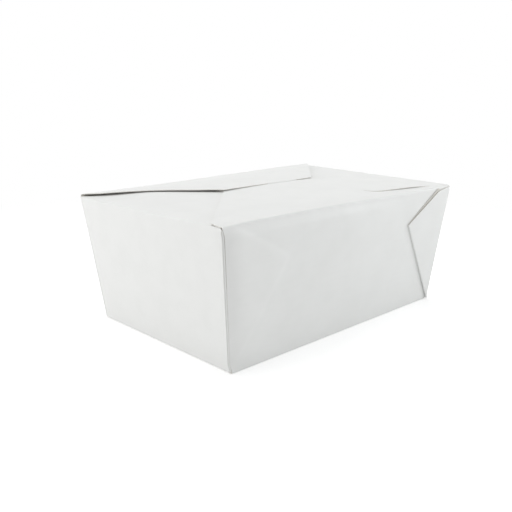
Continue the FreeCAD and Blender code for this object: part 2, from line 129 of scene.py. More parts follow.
# %% Shader formulas
class Wire:
    """One output of a node in a material, with arithmetic that adds Math nodes."""

    def __init__(self, tree, socket):
        self.tree = tree
        self.socket = socket

    def node(self, kind, settings=(), **inputs):
        """Adds a node of a kind, sets its settings, then its inputs, and gives the node. An
        input is called by its name with _ for a space, or by _ and its number."""
        made = self.tree.nodes.new(kind)
        for name, value in dict(settings).items():
            setattr(made, name, value)
        for name, value in inputs.items():
            key = int(name[1:]) if name[1:].isdigit() else name.replace("_", " ")
            socket = made.inputs[key]
            if isinstance(value, Wire):
                self.tree.links.new(value.socket, socket)
            else:
                socket.default_value = value
        return made

    def wire(self, kind, output=0, settings=(), **inputs):
        """The same, and gives one output of the node."""
        return Wire(self.tree, self.node(kind, settings, **inputs).outputs[output])

    def maths(self, operation, *values):
        """A Math node's result for two values."""
        inputs = {f"_{place}": value for place, value in enumerate(values)}
        return self.wire("ShaderNodeMath", settings={"operation": operation}, **inputs)

    def __add__(self, other):
        return self.maths("ADD", self, other)

    def __radd__(self, other):
        return self.maths("ADD", other, self)

    def __sub__(self, other):
        return self.maths("SUBTRACT", self, other)

    def __rsub__(self, other):
        return self.maths("SUBTRACT", other, self)

    def __mul__(self, other):
        return self.maths("MULTIPLY", self, other)

    def __rmul__(self, other):
        return self.maths("MULTIPLY", other, self)

    def between(self, low, high):
        """0 below low, 1 above high and smooth from one to the other."""
        return self.wire(
            "ShaderNodeMapRange",
            settings={"interpolation_type": "SMOOTHSTEP"},
            Value=self,
            From_Min=low,
            From_Max=high,
        )


def noise(place, scale, detail, roughness=0.5):
    """Noise from 0 to 1 in space, with scale features a metre."""
    return place.wire(
        "ShaderNodeTexNoise", Vector=place, Scale=scale, Detail=detail, Roughness=roughness
    )


def blend_colours(amount, first, second):
    """The first colour where the amount is 0 and the second where it is 1."""
    mix = amount.node("ShaderNodeMix", {"data_type": "RGBA"}, _0=amount, _6=first, _7=second)
    return Wire(amount.tree, mix.outputs[2])


# %% [markdown]
# The board has three looks. Its outside is coated: a hard white clay coat with a satin sheen,
# almost without grain, that goes a little cloudy over a few millimetres where the coat is thinner.
# Its inside is plain: the same white pulp, a touch warmer, duller and with fibres to be seen. Its
# cut edge is torn fibre, darker, in thin layers. All three read the object's own coordinates, so
# one sheet's finish runs on over its folds.

# %% The board's finish
COAT_WHITE = (0.850, 0.857, 0.845, 1)
COAT_CLOUD = (0.812, 0.820, 0.806, 1)
PLAIN_WHITE = (0.745, 0.725, 0.680, 1)
PLAIN_FIBRE = (0.640, 0.610, 0.555, 1)
CUT_LIGHT = (0.840, 0.825, 0.795, 1)
CUT_DARK = (0.680, 0.650, 0.600, 1)
# How far the relief of each face stands out, in metres.
COAT_RELIEF, PLAIN_RELIEF, CUT_RELIEF = 0.00035, 0.00012, 0.00008


def new_material(name):
    """A material with a principled shader. Gives the material, its shader and its place wire."""
    material = bpy.data.materials.new(name)
    material.use_nodes = True
    tree = material.node_tree
    shader = tree.nodes["Principled BSDF"]
    place = Wire(tree, tree.nodes.new("ShaderNodeTexCoord").outputs["Object"])
    return material, shader, place


def link(wire, socket):
    """Joins a wrapped output to an input."""
    wire.tree.links.new(wire.socket, socket)


def bumped(place, height, distance, strength):
    """A normal bent by a height from 0 to 1, of which 1 stands distance metres out."""
    return place.wire("ShaderNodeBump", Strength=strength, Distance=distance, Height=height)


def coated_face():
    """White clay coat: cloudy colour, calender streaks along the web and a faint orange peel."""
    material, shader, place = new_material("coated_face")
    cloud = noise(place, 55, 4, 0.55)
    streaks = noise(place.wire("ShaderNodeMapping", Vector=place, Scale=(0.12, 1, 1)), 420, 3, 0.6)
    peel = noise(place, 900, 2, 0.5)
    fibre = noise(place, 2600, 3, 0.65)
    waves = noise(place, 28, 2, 0.4)
    mottle = cloud.between(0.35, 0.75) * 0.5 + streaks.between(0.4, 0.8) * 0.2
    link(blend_colours(mottle, COAT_WHITE, COAT_CLOUD), shader.inputs["Base Color"])
    link(0.44 + 0.10 * cloud + 0.05 * fibre, shader.inputs["Roughness"])
    height = waves * 0.72 + peel * 0.10 + streaks * 0.06 + fibre * 0.06
    link(bumped(place, height, COAT_RELIEF, 0.55), shader.inputs["Normal"])
    shader.inputs["IOR"].default_value = 1.5
    shader.inputs["Specular IOR Level"].default_value = 0.42
    return material


def plain_face():
    """The uncoated side: short fibres in every direction, dull, a touch warmer than the coat."""
    material, shader, place = new_material("plain_face")
    cloud = noise(place, 70, 4, 0.6)
    fibre = noise(place.wire("ShaderNodeMapping", Vector=place, Scale=(0.35, 1, 1)), 2200, 5, 0.7)
    speck = fibre.between(0.55, 0.8) * 0.5 + cloud.between(0.4, 0.8) * 0.35
    link(blend_colours(speck, PLAIN_WHITE, PLAIN_FIBRE), shader.inputs["Base Color"])
    link(0.78 + 0.12 * cloud, shader.inputs["Roughness"])
    link(bumped(place, fibre * 0.7 + cloud * 0.3, PLAIN_RELIEF, 0.7), shader.inputs["Normal"])
    shader.inputs["Specular IOR Level"].default_value = 0.3
    return material


def cut_edge():
    """Where the die cut the board: pressed layers of fibre between two white faces."""
    material, shader, place = new_material("cut_edge")
    layers = noise(place, 3600, 4, 0.7)
    tufts = noise(place, 1400, 3, 0.6)
    worn = layers.between(0.35, 0.7) * 0.6 + tufts.between(0.45, 0.75) * 0.4
    link(blend_colours(worn, CUT_LIGHT, CUT_DARK), shader.inputs["Base Color"])
    link(0.85 + 0.1 * tufts, shader.inputs["Roughness"])
    link(bumped(place, layers, CUT_RELIEF, 0.8), shader.inputs["Normal"])
    shader.inputs["Specular IOR Level"].default_value = 0.25
    return material


board_finish = [coated_face(), plain_face(), cut_edge()]
print("finishes:", [finish.name for finish in board_finish])

# %% [markdown]
# Every panel is the same thing: a sheet of board. It could be a flat mesh with a Solidify
# modifier, but then its cut edges share the face's finish. So one helper turns the middle surface
# of the board, a grid of points, into a closed skin: the coated face half a thickness out, the
# plain face half a thickness in, and a narrow wall of cut edge wherever the sheet ends. Cells of
# the grid can be left out, which makes slits and tabs.

# %% From a middle surface to a sheet of board
FACE_COATED, FACE_PLAIN, FACE_CUT = 0, 1, 2
SHARP_ANGLE = math.radians(40)
TINY = 1e-9  # keeps a division from dividing by nothing


def surface_normals(grid):
    """The unit normal at each point: the cross product of the steps down and along the grid."""
    down_step = np.gradient(grid, axis=0)
    along_step = np.gradient(grid, axis=1)
    normal = np.cross(down_step, along_step)
    return normal / np.maximum(np.linalg.norm(normal, axis=2, keepdims=True), TINY)


def board_sheet(name, middle, toward, keep=None):
    """A closed mesh of board round the middle surface, a grid of points in millimetres.
    toward is a direction that the coated face looks along at the grid's first corner cell, and
    keep says for each cell of the grid whether the sheet is there."""
    rows, columns = middle.shape[:2]
    if keep is None:
        keep = np.ones((rows - 1, columns - 1), bool)
    normal = surface_normals(middle)
    first = np.argwhere(keep)[0]
    flip = float(normal[first[0], first[1]] @ np.array(toward)) < 0
    if flip:
        normal = -normal
    outside, inside = middle + normal * HALF_BOARD, middle - normal * HALF_BOARD
    points = np.concatenate([outside.reshape(-1, 3), inside.reshape(-1, 3)])
    index = np.arange(rows * columns).reshape(rows, columns)
    under = rows * columns
    quads = np.stack([index[:-1, :-1], index[1:, :-1], index[1:, 1:], index[:-1, 1:]], axis=2)
    if flip:
        quads = quads[:, :, ::-1]
    coated = quads[keep]
    plain = coated[:, ::-1] + under
    # A wall stands on each side of a kept cell whose neighbour isn't kept.
    padded = np.pad(keep, 1)
    neighbours = [padded[1:-1, :-2], padded[2:, 1:-1], padded[1:-1, 2:], padded[:-2, 1:-1]]
    if flip:
        neighbours = [neighbours[2], neighbours[1], neighbours[0], neighbours[3]]
    walls = []
    for side, there in enumerate(neighbours):
        edge = quads[keep & ~there]
        start, end = edge[:, side], edge[:, (side + 1) % 4]
        walls.append(np.stack([end, start, start + under, end + under], axis=1))
    walls = np.concatenate(walls)
    faces = np.concatenate([coated, plain, walls])
    kinds = np.repeat([FACE_COATED, FACE_PLAIN, FACE_CUT], [len(coated), len(plain), len(walls)])
    used, faces = np.unique(faces, return_inverse=True)
    faces = faces.reshape(-1, 4)
    mesh = bpy.data.meshes.new(name)
    mesh.from_pydata((points[used] * MM).tolist(), [], faces.tolist())
    mesh.polygons.foreach_set("material_index", kinds)
    mesh.polygons.foreach_set("use_smooth", np.ones(len(faces), bool))
    mesh.set_sharp_from_angle(angle=SHARP_ANGLE)
    piece = bpy.data.objects.new(name, mesh)
    bpy.context.collection.objects.link(piece)
    for finish in board_finish:
        mesh.materials.append(finish)
    print(name, "has", len(faces), "faces")
    return piece


def along(*stretches):
    """Numbers from the first stretch's start to the last one's end: each stretch is (start, end,
    count), and one stretch's end is the next one's start."""
    parts = [np.linspace(start, end, count, endpoint=False) for start, end, count in stretches]
    return np.append(np.concatenate(parts), stretches[-1][1])


def smooth(value):
    """0 below 0, 1 above 1, and 3 t squared less 2 t cubed between."""
    held = np.clip(value, 0, 1)
    return held * held * (3 - 2 * held)


def ramp(value, start, end):
    """0 on the start's side, 1 on the end's side and smooth between. The end may be the lesser."""
    return smooth((value - start) / (end - start))


def arch(share):
    """A raised cosine: 1 at 0, and 0 from 1 and from -1 on."""
    return np.cos(np.clip(share, -1, 1) * math.pi / 2) ** 2


# %% [markdown]
# The long strip of the blank runs from the front flap's lip, over its crease, down the front
# wall, round the base fold, across the base and up the rear wall. It could be five panels, but a
# fold has no seam, so it is one profile in the YZ plane carried along X. Each point of the
# profile has its own left and right end, which gives the flap its slanting sides.

# %% The long strip's profile
FRONT_CREASE, BASE_FOLD = 1.3, 0.9  # the folds' outside radii
FRONT_START = FRONT_CREASE - RIM_Y
WALL_TURN = 180 + math.degrees(math.atan(LEAN_Y))
SLIT_NEAR, SLIT_FAR = SEAM_Y - SLIT_GAP, SEAM_Y + BOARD + SLIT_GAP


def quarter(centre, radius, start, end, count):
    """Points on an arc round a centre from one angle to another, in degrees."""
    angle = np.radians(np.linspace(start, end, count))
    return np.stack([centre[0] + radius * np.cos(angle), centre[1] + radius * np.sin(angle)], axis=1)


def straight(start, end, count):
    """Points on a line, without its ends."""
    share = np.linspace(0, 1, count + 2)[1:-1, None]
    return np.array(start) * (1 - share) + np.array(end) * share


def wall_y(z):
    """The outer face of a long wall at a height, as a distance from the middle."""
    return BASE_Y + LEAN_Y * z


def wall_x(z):
    """The outer face of an end wall at a height."""
    return BASE_X + LEAN_X * z


crease_arc = quarter(
    (FRONT_START, HEIGHT - FRONT_CREASE), FRONT_CREASE - HALF_BOARD, 90, WALL_TURN, 9
)
fold_arc = quarter((BASE_FOLD - BASE_Y, BASE_FOLD), BASE_FOLD - HALF_BOARD, WALL_TURN, 270, 7)
lip_y = along(
    (LIP_Y, LIP_Y - LIP_ROUND, 6),
    (LIP_Y - LIP_ROUND, SLIT_FAR, 3),
    (SLIT_FAR, SLIT_NEAR, 1),
    (SLIT_NEAR, FRONT_START, 46),
)[:-1]
lip_stretch = np.stack([lip_y, np.full_like(lip_y, HEIGHT - HALF_BOARD)], axis=1)
rear_fold = fold_arc[::-1] * (-1, 1)
rear_top = (RIM_Y - HALF_BOARD, RIM_Z)
profile = np.concatenate(
    [
        lip_stretch,
        crease_arc,
        straight(crease_arc[-1], fold_arc[0], 60),
        fold_arc,
        straight(fold_arc[-1], rear_fold[0], 24),
        rear_fold,
        straight(rear_fold[-1], rear_top, 30),
        [rear_top],
    ]
)
profile_y, profile_z = profile.T
flap_rows = len(lip_stretch)
print("the long strip's profile has", len(profile), "points")

# %% The long strip's ends
SIDE_CUT = 2.0  # the slanting sides start this much past where a slant of 45 degrees would
SIDE_Y = SEAM_Y - (CREASE_END - SEAM_HALF) + SIDE_CUT
# The left corners' pointed fold juts out from the plies by the first number, and the plies end
# at the second one from the corner line.
NOSE_MID, NOSE_BACK = 0.45, 0.70

row = np.arange(len(profile))
in_flap = row < flap_rows
flap_slant = (CREASE_END - SEAM_HALF) / (SEAM_Y - SIDE_Y)
flap_end = np.clip(CREASE_END - (profile_y - SIDE_Y) * flap_slant, SEAM_HALF, CREASE_END)
into_round = np.clip(profile_y - (LIP_Y - LIP_ROUND), 0, LIP_ROUND)
flap_end = flap_end - (LIP_ROUND - np.sqrt(LIP_ROUND**2 - into_round**2)) * (into_round > 0)
in_crease = (row >= flap_rows) & (row < flap_rows + len(crease_arc))
wall_right = wall_x(profile_z) - CORNER_BACK
wall_left = wall_x(profile_z) - NOSE_BACK
right_end = np.where(in_flap, flap_end, np.where(in_crease, CREASE_END, wall_right))
left_end = -np.where(in_flap, flap_end, np.where(in_crease, CREASE_END, wall_left))
slit_edges = (TONGUE_START - SLIT_GAP, TONGUE_END + SLIT_GAP)


def shaped_columns(left, right, marks, counts):
    """Places along X from left to right with a column at each mark, which stays where it is
    wherever both ends are beyond it. counts are the cells between neighbouring marks."""
    edges = [left, *[np.full_like(left, mark) for mark in marks], right]
    parts = []
    for start, end, count in zip(edges[:-1], edges[1:], counts):
        share = np.arange(count) / count
        parts.append(start[:, None] * (1 - share) + end[:, None] * share)
    return np.concatenate(parts + [right[:, None]], axis=1)


STRIP_CELLS = (84, 14, 46)  # cells across: left of the slit, over it and right of it
columns_x = shaped_columns(left_end, right_end, slit_edges, STRIP_CELLS)
print("the long strip's columns:", columns_x.shape[1])

# %% [markdown]
# Board is never quite flat. The front flap is pushed up in the middle, where the tongue pulls on
# it, and takes the left part of its crease up with it. Its left edge stands off the end wall's
# rim, and the right end of the rear crease stands up too. The walls belly out by half a
# millimetre and are rounded toward the left corners, and the webs that are folded inside the
# left end press a faint outline through the wall. Each of these is a function of place, so that
# pieces that meet at a place move by the same amount there.

# %% How far the board moves off its straight lines
bow_chord_y = RIM_Y - HALF_BOARD - SEAM_Y
bow_chord_z = -SEAM_RISE
bow_chord = math.hypot(bow_chord_y, bow_chord_z)
BOW_RADIUS = (bow_chord**2 / 4 + FLAP_BOW**2) / (2 * FLAP_BOW)
bow_depth = (BOW_RADIUS - FLAP_BOW) / bow_chord
BOW_Y = (RIM_Y - HALF_BOARD + SEAM_Y) / 2 + bow_depth * bow_chord_z
BOW_Z = HEIGHT - HALF_BOARD + SEAM_RISE / 2 - bow_depth * bow_chord_y
CROWN_HALF = 135.0  # the crown ends this far left of the middle, and twice as far right
SEAM_LAP = 0.08  # the air between the front flap's lip and the rear flap over it
RIM_RISE, REAR_RISE = 1.5, 2.0  # of the front and rear creases above their straight lines
EDGE_LIFT = 0.62  # of the front flap's left edge, beside the near corner
TUCK_BASE, TUCK_RIM, TUCK_WIDTH = 1.8, -1.2, 16.0  # in at the base, out at the rim, over a width
WALL_BULGE = 0.5
# The pressed outline's height, the width of its edge and its distance from the corner.
WEB_RELIEF, RELIEF_STEP, RELIEF_CLEAR = 0.35, 1.4, 8.0
CORNER_ROUND, CORNER_REACH = 2.1, 14.0  # how far out the left corners swell, and over what width


def bow_z(y, out=0.0):
    """The rear flap's height over a place: a circle about the bow's centre, out from its middle."""
    return BOW_Z + np.sqrt((BOW_RADIUS + out) ** 2 - (y - BOW_Y) ** 2)


CROWN = bow_z(LIP_Y, -HALF_BOARD) - SEAM_LAP - HEIGHT


def tucked(grid):
    """The front wall's left edge is rolled in at the base and out at the rim by the web behind
    it. The shift grows as the square of the nearness to the edge, and every sheet there goes
    with it, so they stay together."""
    x, y, z = np.moveaxis(grid, 2, 0)
    near = np.clip((TUCK_WIDTH - x - wall_x(z)) / TUCK_WIDTH, 0, 1)
    tuck = TUCK_BASE + (TUCK_RIM - TUCK_BASE) * z / HEIGHT
    shift = tuck * near**2 * ramp(y, -40, -68) * ramp(z, HEIGHT - 1, HEIGHT - 4) * ramp(z, 0, 6)
    return np.stack([x, y + shift, z], axis=2)


def rear_rise(x):
    """How far the rear crease stands above its straight line, most at the right end."""
    return REAR_RISE * ramp(x, -90, 110)


def rim_rise(x):
    """How far the front crease stands above its straight line: most toward the left end, none
    at the right end, and less again in the last inch before the left corner."""
    return RIM_RISE * ramp(x, 75, -55) * (1 - 0.4 * ramp(x, -90, -113))


def crowned(x, y):
    """How far the front flap stands above its crease's straight line: the crease's own rise,
    then a raised cosine across that grows straight toward the lip, and the lifted left edge."""
    run = np.clip((y - FRONT_START) / (LIP_Y - FRONT_START), 0, 1)
    half = np.where(x < 0, CROWN_HALF, 2 * CROWN_HALF)
    edge = EDGE_LIFT * ramp(x, -96, -112) * ramp(y, FRONT_START + 2, FRONT_START + 8)
    edge = edge * (1 - ramp(y, SIDE_Y + 2, SIDE_Y + 14))
    return CROWN * arch(x / half) * run + rim_rise(x) * (1 - run) + edge


print("front flap's crown:", round(CROWN, 2), "rear flap's radius:", round(BOW_RADIUS))

# %% The web's outline on the wall
# Its corners are (along the wall from the base corner, up the wall).
wall_slant = math.hypot(HEIGHT, MOUTH_Y - BASE_Y)
end_slant = math.hypot(HEIGHT, MOUTH_X - BASE_X)
CORNER_LONG = math.atan((MOUTH_X - BASE_X) / wall_slant)
CORNER_END = math.atan((MOUTH_Y - BASE_Y) / end_slant)
WEB_HALF = (math.pi / 2 - CORNER_LONG - CORNER_END) / 2
CREASE_ANGLE = WEB_HALF - CORNER_LONG
tip = np.array([-WEB_CREASE * math.sin(CREASE_ANGLE), WEB_CREASE * math.cos(CREASE_ANGLE)])
shoulder = np.array([MOUTH_X - SHOULDER_IN - BASE_X, wall_slant - SHOULDER_DROP])
print("half a web turns", round(math.degrees(WEB_HALF), 2), "degrees; its tip is at", np.round(tip, 1))


def web_outline_distance(along_wall, up_wall):
    """How far inside a web's outline a point of the wall is, in millimetres: the least of its
    distances to the middle fold and to the upper edge."""
    fold_side = along_wall * math.cos(CREASE_ANGLE) + up_wall * math.sin(CREASE_ANGLE)
    edge = (shoulder - tip) / np.linalg.norm(shoulder - tip)
    edge_side = (along_wall - tip[0]) * edge[1] - (up_wall - tip[1]) * edge[0]
    return np.minimum(fold_side, edge_side)


# %% The long strip's surface
# Each row is the profile's point, and the walls' upper halves stretch with their rims.
row_y = np.repeat(profile_y[:, None], columns_x.shape[1], axis=1)
row_z = np.repeat(profile_z[:, None], columns_x.shape[1], axis=1)
front_rise = rim_rise(columns_x) * ramp(row_z, HEIGHT / 2, RIM_Z) * (row_y < 0)
row_z = row_z + np.where(in_flap[:, None], crowned(columns_x, row_y), front_rise)
back_rise = rear_rise(columns_x) * ramp(row_z, HEIGHT / 2, RIM_Z) * (row_y > 0)
row_z = row_z + np.where(in_flap[:, None], 0, back_rise)

# What stands proud of the walls' flat faces.
in_walls = (row >= flap_rows + len(crease_arc)) & (profile_z > BASE_FOLD)
up_share = np.clip((profile_z - BASE_FOLD) / (RIM_Z - BASE_FOLD), 0, 1)
middle_share = np.cos(np.clip(columns_x / RIM_X, -1, 1) * math.pi / 2)
belly = WALL_BULGE * np.sin(math.pi * up_share)[:, None] * middle_share
from_left = np.clip((columns_x + wall_x(row_z)) / CORNER_REACH, 0, 1)
inside_web = web_outline_distance(-columns_x - BASE_X, row_z * wall_slant / HEIGHT)
relief = WEB_RELIEF * smooth(inside_web / RELIEF_STEP + 0.5)
relief = relief * smooth(from_left * CORNER_REACH / RELIEF_CLEAR)
corner_round = CORNER_ROUND * (1 - (1 - from_left) ** 2) * ramp(columns_x, 70, -20)
corner_round = corner_round * (ramp(profile_z, RIM_Z, RIM_Z - 7) * ramp(profile_z, 12, 62))[:, None]
proud = np.where(in_walls[:, None], belly + relief + corner_round, 0)
row_y = row_y + proud * np.where(profile_y < 0, -1, 1)[:, None]
long_strip_grid = tucked(np.stack([columns_x, row_y, row_z], axis=2))

# The slit is the cells over the tongue that are left out.
cell_x = (long_strip_grid[:-1, :-1, 0] + long_strip_grid[1:, 1:, 0]) / 2
cell_y = (long_strip_grid[:-1, :-1, 1] + long_strip_grid[1:, 1:, 1]) / 2
beside_tongue = (cell_x > slit_edges[0]) & (cell_x < slit_edges[1])
in_slit = beside_tongue & (cell_y > SLIT_NEAR) & (cell_y < SLIT_FAR) & in_flap[1:, None]
long_strip = board_sheet("long_strip", long_strip_grid, (0, 0, 1), keep=~in_slit)
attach(long_strip, "box")
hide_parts("carton")

# %% [markdown]
# Each end of the blank is a strip too: the end wall comes up from the base fold, rolls over at
# its crease and goes in as a dust flap, which ends in rounded corners. The left dust flap can be
# seen beside the flaps over it, so it springs up against them as in the photograph.

# %% The end strips
DUST_START = RIM_X - CREASE
DUST_TIP = RIM_X - DUST_DEPTH
dust_half = RIM_Y - DUST_INSET
END_BULGE = 0.45
RIGHT_END_RISE, RISE_PER_MM = 1.3, 0.004  # the right rim's rise in the middle, and its slope
LEFT_FRONT_RISE, LEFT_REAR_FALL = 1.1, 0.7
DUST_SPRING, SPRING_Y, SPRING_REACH = 2.75, 28, 57  # the sprung height, full up to a place, then down
RIGHT_SPRING = 0.7  # of the left flap's
FLAP_CLEAR = 0.12  # the air between the front flap and the left dust flap
DUST_FLARE, CREASE_FLARE = 1.2, 1.7  # the flap is wider at its crease, and the crease wider still
FLARE_SHARE, CREASE_STEP = 0.08, 0.5  # share of the flap's depth, and millimetres across the crease


def end_rim_rise(y, side):
    """How far an end's rim stands above its straight line. The right one is up along all its
    length. The left one is up at the front corner, where the front flap pulls, and down at the
    rear one."""
    if side > 0:
        return (RIGHT_END_RISE + RISE_PER_MM * y) * ramp(y, -70, -59)
    return LEFT_FRONT_RISE * ramp(y, -5, -45) - LEFT_REAR_FALL * ramp(y, 20, 55)


def dust_lift(inward, y, side):
    """How far a dust flap stands above its straight line, inward millimetres from its crease.
    The right one starts at the rim's rise. The left one lies close under the front flap's
    slanting edge, and behind that it is high as far as the middle of the rear flap's edge."""
    rim = end_rim_rise(y, side)
    sprung = DUST_SPRING * arch(np.maximum(y - SPRING_Y, 0) / SPRING_REACH)
    if side > 0:
        return rim * (1 - smooth(inward / 30)) + RIGHT_SPRING * sprung * smooth(inward / 38)
    slant_x = np.clip(CREASE_END - (y - SIDE_Y) * flap_slant, SEAM_HALF, CREASE_END)
    under_flap = crowned(-slant_x, y) + LAP_GAP - FLAP_CLEAR
    high = np.where(y < LIP_Y - 3.5, under_flap, sprung)
    spring = smooth(inward / np.clip(CREASE_END - slant_x, 6, 36))
    return rim * (1 - spring) + high * spring


def end_strip(name, side, wall_step):
    """One end of the box. side is 1 for right and -1 for left, and wall_step is how far outside
    the long walls' outer faces the end wall's flat part reaches."""
    lean = math.degrees(math.atan(LEAN_X))
    base_arc = quarter((BASE_X - BASE_FOLD, BASE_FOLD), BASE_FOLD - HALF_BOARD, 270, 360 - lean, 7)
    dust_arc = quarter((DUST_START, DUST_LINE), CREASE - HALF_BOARD, -lean, 90, 7)
    round_x = DUST_TIP + DUST_ROUND
    inward_x = along((DUST_START, round_x, 34), (round_x, DUST_TIP, 10))[1:]
    inward = np.stack([inward_x, np.full_like(inward_x, DUST_TOP - HALF_BOARD)], axis=1)
    wall = straight(base_arc[-1], dust_arc[0], 48)
    path = np.concatenate([base_arc, wall, dust_arc, inward])
    path_x, path_z = path.T
    row = np.arange(len(path))
    walls = row < len(base_arc) + len(wall)
    creased = ~walls & (row < len(base_arc) + len(wall) + len(dust_arc))
    depth = (DUST_START - path_x) / (DUST_START - DUST_TIP)
    flap_half = dust_half - DUST_TAPER * np.clip(depth, 0, 1)
    flap_half = flap_half + DUST_FLARE * (1 - smooth(depth / FLARE_SHARE))
    into_round = np.clip(DUST_TIP + DUST_ROUND - path_x, 0, DUST_ROUND) * ~(walls | creased)
    flap_half = flap_half - (DUST_ROUND - np.sqrt(DUST_ROUND**2 - into_round**2))
    crease_half = dust_half + DUST_FLARE + CREASE_FLARE * smooth((path_x - CREASE_END) / CREASE_STEP)
    half = np.where(creased, crease_half, flap_half)
    half = np.where(walls, wall_y(path_z) + wall_step, half)
    across = np.linspace(-1, 1, 61)
    y = half[:, None] * across
    rise = np.clip((path_z - BASE_FOLD) / (DUST_LINE - BASE_FOLD), 0, 1)
    belly = END_BULGE * np.sin(math.pi * rise)[:, None] * np.cos(across * math.pi / 2)
    x = path_x[:, None] + np.where(walls[:, None], belly, 0)
    on_wall = end_rim_rise(y, side) * smooth(rise * 2 - 1)[:, None]
    on_flap = dust_lift(DUST_START - path_x[:, None], y, side)
    z = path_z[:, None] + np.where(walls[:, None], on_wall, on_flap)
    piece = board_sheet(name, tucked(np.stack([side * x, y, z], axis=2)), (side, 0, -1))
    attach(piece, "box")
    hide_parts("carton")


WEB_OUT = 2 * (BOARD + PLY_GAP)
LEFT_GROOVE = 0.05  # more air between the plies at the left end
RIGHT_BEND, LEFT_BEND = 1.8, 0.30  # the outside radius of the bend from end wall to web
end_strip("right_end_strip", 1, WEB_OUT - RIGHT_BEND)
end_strip("left_end_strip", -1, -WEB_OUT - LEFT_GROOVE - LEFT_BEND)

# %% [markdown]
# A web closes each corner without a cut, so the box holds liquid. It is two plies that share the
# corner's base point, so polar coordinates about that point suit it: one way of the grid runs
# from the end wall round its bend, over the outer ply, round the middle fold, back over the
# under ply and round to the long wall, and the other way runs out from the base point to the
# web's upper edge. At the right end the webs lie outside the long walls, at the left end inside.
# There the last fold, from the under ply to the long wall, is creased hard and so is pointed.

# %% The webs
# Along the wall toward its middle and up the corner line, from the base corner.
turn = np.array(
    [
        [-math.cos(CORNER_LONG), math.sin(CORNER_LONG)],
        [math.sin(CORNER_LONG), math.cos(CORNER_LONG)],
    ]
)
tip_polar = turn @ tip
shoulder_polar = turn @ shoulder
CORNER_TOP = math.hypot(HEIGHT, MOUTH_X - BASE_X, MOUTH_Y - BASE_Y) * RIM_Z / HEIGHT
REAR_DROP, REAR_STEP = 2.4, 0.2  # how much lower the right rear web is, and its under ply's step
# Shares of the way from the base point to the upper edge, closer together near the point.
REACH_STEPS = np.append([0.012, 0.03], np.linspace(0.06, 1, 52))
# Near the base point a bend or roll takes at most these shares of the ply's width.
BEND_SHARE, ROLL_SHARE = 0.45, 0.4
LEAST_RADIUS = 0.05


def edge_reach(angle, step, drop):
    """How far from the base corner a ray meets the web's upper edge: it crosses the line from
    the corner line to the shoulder, or the one from the shoulder to the tip, whichever is
    nearer. Between shoulder and tip the under ply stands out by a step that shrinks to nothing
    at the tip. drop is how much lower the edge starts at the corner line."""
    ray = np.stack([np.sin(angle), np.cos(angle)], axis=-1)
    reach = np.full(angle.shape, np.inf)
    top_polar = np.array([0, CORNER_TOP - drop])
    for first, second in ((top_polar, shoulder_polar), (shoulder_polar, tip_polar)):
        way = second - first
        meets = (first[0] * way[1] - first[1] * way[0]) / (ray[..., 0] * way[1] - ray[..., 1] * way[0])
        reach = np.minimum(reach, np.where(meets > 0, meets, np.inf))
    shoulder_angle = math.atan2(*shoulder_polar)
    grown = np.clip((WEB_HALF - angle) / (WEB_HALF - shoulder_angle), 0, 1)
    return reach + step * grown * ramp(angle / shoulder_angle, 0.8, 1)


